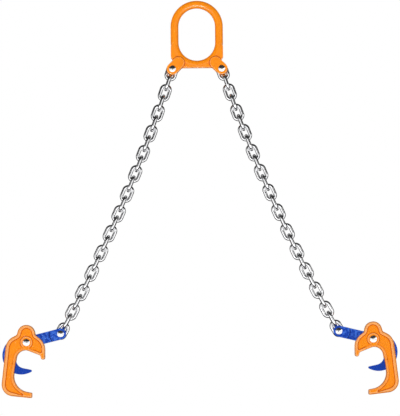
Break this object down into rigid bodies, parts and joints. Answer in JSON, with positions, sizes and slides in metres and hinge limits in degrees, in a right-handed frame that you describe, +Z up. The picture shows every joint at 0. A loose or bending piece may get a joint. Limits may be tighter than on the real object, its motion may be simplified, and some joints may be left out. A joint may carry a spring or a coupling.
{
  "type": "drum lifter",
  "caption": "Two-leg chain sling with an oval master link and lever-closed clamps that grip a drum's rim as the chains pull, each with a beak, a hooked jaw and a foot.",
  "frame": {"origin": "hook seat: the inside top of the master link's eye, in its middle plane", "axes": "+Z up, +X across the two legs to the right in the front view, +Y along the pins, to the back"},
  "size_m": [0.661, 0.0304, 0.6629],
  "materials": {
    "orange_paint": "gloss orange paint over forged and cast steel, thin at the edges",
    "blue_paint": "gloss blue paint over forged steel",
    "chain_steel": "bright zinc-plated welded chain",
    "pin_steel": "polished steel rivet heads"
  },
  "bodies": {
    "master": {"master_link": "orange_paint", "left_top_pin": "pin_steel", "right_top_pin": "pin_steel"},
    "left_leg_01": {"left_chain_01": "chain_steel"},
    "left_leg_02": {"left_chain_02": "chain_steel"},
    "left_leg_03": {"left_chain_03": "chain_steel"},
    "left_leg_04": {"left_chain_04": "chain_steel"},
    "left_leg_05": {"left_chain_05": "chain_steel"},
    "left_leg_06": {"left_chain_06": "chain_steel"},
    "left_leg_07": {"left_chain_07": "chain_steel"},
    "left_leg_08": {"left_chain_08": "chain_steel"},
    "left_leg_09": {"left_chain_09": "chain_steel"},
    "left_leg_10": {"left_chain_10": "chain_steel"},
    "left_leg_11": {"left_chain_11": "chain_steel"},
    "left_leg_12": {"left_chain_12": "chain_steel"},
    "left_leg_13": {"left_chain_13": "chain_steel"},
    "left_leg_14": {"left_chain_14": "chain_steel"},
    "left_lever_body": {"left_lever": "blue_paint", "left_lever_pin": "pin_steel"},
    "left_clamp": {"left_clamp_body": "orange_paint", "left_pivot_pin": "pin_steel"},
    "right_leg_01": {"right_chain_01": "chain_steel"},
    "right_leg_02": {"right_chain_02": "chain_steel"},
    "right_leg_03": {"right_chain_03": "chain_steel"},
    "right_leg_04": {"right_chain_04": "chain_steel"},
    "right_leg_05": {"right_chain_05": "chain_steel"},
    "right_leg_06": {"right_chain_06": "chain_steel"},
    "right_leg_07": {"right_chain_07": "chain_steel"},
    "right_leg_08": {"right_chain_08": "chain_steel"},
    "right_leg_09": {"right_chain_09": "chain_steel"},
    "right_leg_10": {"right_chain_10": "chain_steel"},
    "right_leg_11": {"right_chain_11": "chain_steel"},
    "right_leg_12": {"right_chain_12": "chain_steel"},
    "right_leg_13": {"right_chain_13": "chain_steel"},
    "right_leg_14": {"right_chain_14": "chain_steel"},
    "right_lever_body": {"right_lever": "blue_paint", "right_lever_pin": "pin_steel"},
    "right_clamp": {"right_clamp_body": "orange_paint", "right_pivot_pin": "pin_steel"}
  },
  "joints": [
    {"name": "left_leg_swing", "type": "hinge", "parent": "master", "child": "left_leg_01", "pos_m": [-0.0413, 0, -0.102], "axis": [0, 1, 0], "range_deg": [-40, 60]},
    {"name": "left_link_swing_02", "type": "hinge", "parent": "left_leg_01", "child": "left_leg_02", "pos_m": [-0.04455, 0, -0.11188], "axis": [0, 1, 0], "range_deg": [-35, 35]},
    {"name": "left_link_nod_03", "type": "hinge", "parent": "left_leg_02", "child": "left_leg_03", "pos_m": [-0.05885, 0, -0.15381], "axis": [0.9433, 0, -0.332], "range_deg": [-40, 40]},
    {"name": "left_link_swing_04", "type": "hinge", "parent": "left_leg_03", "child": "left_leg_04", "pos_m": [-0.06824, 0, -0.18029], "axis": [0, -1, 0], "range_deg": [-40, 40]},
    {"name": "left_link_nod_05", "type": "hinge", "parent": "left_leg_04", "child": "left_leg_05", "pos_m": [-0.08369, 0, -0.22181], "axis": [-0.9337, 0, 0.3579], "range_deg": [-40, 40]},
    {"name": "left_link_swing_06", "type": "hinge", "parent": "left_leg_05", "child": "left_leg_06", "pos_m": [-0.09381, 0, -0.24802], "axis": [0, 1, 0], "range_deg": [-40, 40]},
    {"name": "left_link_nod_07", "type": "hinge", "parent": "left_leg_06", "child": "left_leg_07", "pos_m": [-0.11041, 0, -0.2891], "axis": [0.9235, 0, -0.3836], "range_deg": [-40, 40]},
    {"name": "left_link_swing_08", "type": "hinge", "parent": "left_leg_07", "child": "left_leg_08", "pos_m": [-0.12125, 0, -0.31502], "axis": [0, -1, 0], "range_deg": [-40, 40]},
    {"name": "left_link_nod_09", "type": "hinge", "parent": "left_leg_08", "child": "left_leg_09", "pos_m": [-0.13898, 0, -0.35562], "axis": [-0.9125, 0, 0.409], "range_deg": [-40, 40]},
    {"name": "left_link_swing_10", "type": "hinge", "parent": "left_leg_09", "child": "left_leg_10", "pos_m": [-0.15053, 0, -0.38123], "axis": [0, 1, 0], "range_deg": [-40, 40]},
    {"name": "left_link_nod_11", "type": "hinge", "parent": "left_leg_10", "child": "left_leg_11", "pos_m": [-0.16937, 0, -0.42133], "axis": [0.9009, 0, -0.4341], "range_deg": [-40, 40]},
    {"name": "left_link_swing_12", "type": "hinge", "parent": "left_leg_11", "child": "left_leg_12", "pos_m": [-0.18163, 0, -0.44661], "axis": [0, -1, 0], "range_deg": [-40, 40]},
    {"name": "left_link_nod_13", "type": "hinge", "parent": "left_leg_12", "child": "left_leg_13", "pos_m": [-0.20157, 0, -0.48617], "axis": [-0.8885, 0, 0.4588], "range_deg": [-40, 40]},
    {"name": "left_link_swing_14", "type": "hinge", "parent": "left_leg_13", "child": "left_leg_14", "pos_m": [-0.21453, 0, -0.5111], "axis": [0, 1, 0], "range_deg": [-40, 40]},
    {"name": "left_lever_fold", "type": "hinge", "parent": "left_leg_14", "child": "left_lever_body", "pos_m": [-0.23183, 0, -0.54335], "axis": [0, -1, 0], "range_deg": [-25, 95]},
    {"name": "left_jaw", "type": "hinge", "parent": "left_lever_body", "child": "left_clamp", "pos_m": [-0.28868, 0, -0.55716], "axis": [0, -1, 0], "range_deg": [-12, 25]},
    {"name": "right_leg_swing", "type": "hinge", "parent": "master", "child": "right_leg_01", "pos_m": [0.0413, 0, -0.102], "axis": [0, 1, 0], "range_deg": [-60, 40]},
    {"name": "right_link_swing_02", "type": "hinge", "parent": "right_leg_01", "child": "right_leg_02", "pos_m": [0.04455, 0, -0.11188], "axis": [0, -1, 0], "range_deg": [-35, 35]},
    {"name": "right_link_nod_03", "type": "hinge", "parent": "right_leg_02", "child": "right_leg_03", "pos_m": [0.05885, 0, -0.15381], "axis": [-0.9433, 0, -0.332], "range_deg": [-40, 40]},
    {"name": "right_link_swing_04", "type": "hinge", "parent": "right_leg_03", "child": "right_leg_04", "pos_m": [0.06824, 0, -0.18029], "axis": [0, 1, 0], "range_deg": [-40, 40]},
    {"name": "right_link_nod_05", "type": "hinge", "parent": "right_leg_04", "child": "right_leg_05", "pos_m": [0.08369, 0, -0.22181], "axis": [0.9337, 0, 0.3579], "range_deg": [-40, 40]},
    {"name": "right_link_swing_06", "type": "hinge", "parent": "right_leg_05", "child": "right_leg_06", "pos_m": [0.09381, 0, -0.24802], "axis": [0, -1, 0], "range_deg": [-40, 40]},
    {"name": "right_link_nod_07", "type": "hinge", "parent": "right_leg_06", "child": "right_leg_07", "pos_m": [0.11041, 0, -0.2891], "axis": [-0.9235, 0, -0.3836], "range_deg": [-40, 40]},
    {"name": "right_link_swing_08", "type": "hinge", "parent": "right_leg_07", "child": "right_leg_08", "pos_m": [0.12125, 0, -0.31502], "axis": [0, 1, 0], "range_deg": [-40, 40]},
    {"name": "right_link_nod_09", "type": "hinge", "parent": "right_leg_08", "child": "right_leg_09", "pos_m": [0.13898, 0, -0.35562], "axis": [0.9125, 0, 0.409], "range_deg": [-40, 40]},
    {"name": "right_link_swing_10", "type": "hinge", "parent": "right_leg_09", "child": "right_leg_10", "pos_m": [0.15053, 0, -0.38123], "axis": [0, -1, 0], "range_deg": [-40, 40]},
    {"name": "right_link_nod_11", "type": "hinge", "parent": "right_leg_10", "child": "right_leg_11", "pos_m": [0.16937, 0, -0.42133], "axis": [-0.9009, 0, -0.4341], "range_deg": [-40, 40]},
    {"name": "right_link_swing_12", "type": "hinge", "parent": "right_leg_11", "child": "right_leg_12", "pos_m": [0.18163, 0, -0.44661], "axis": [0, 1, 0], "range_deg": [-40, 40]},
    {"name": "right_link_nod_13", "type": "hinge", "parent": "right_leg_12", "child": "right_leg_13", "pos_m": [0.20157, 0, -0.48617], "axis": [0.8885, 0, 0.4588], "range_deg": [-40, 40]},
    {"name": "right_link_swing_14", "type": "hinge", "parent": "right_leg_13", "child": "right_leg_14", "pos_m": [0.21453, 0, -0.5111], "axis": [0, -1, 0], "range_deg": [-40, 40]},
    {"name": "right_lever_fold", "type": "hinge", "parent": "right_leg_14", "child": "right_lever_body", "pos_m": [0.23183, 0, -0.54335], "axis": [0, 1, 0], "range_deg": [-25, 95]},
    {"name": "right_jaw", "type": "hinge", "parent": "right_lever_body", "child": "right_clamp", "pos_m": [0.28868, 0, -0.55716], "axis": [0, 1, 0], "range_deg": [-12, 25]}
  ]
}
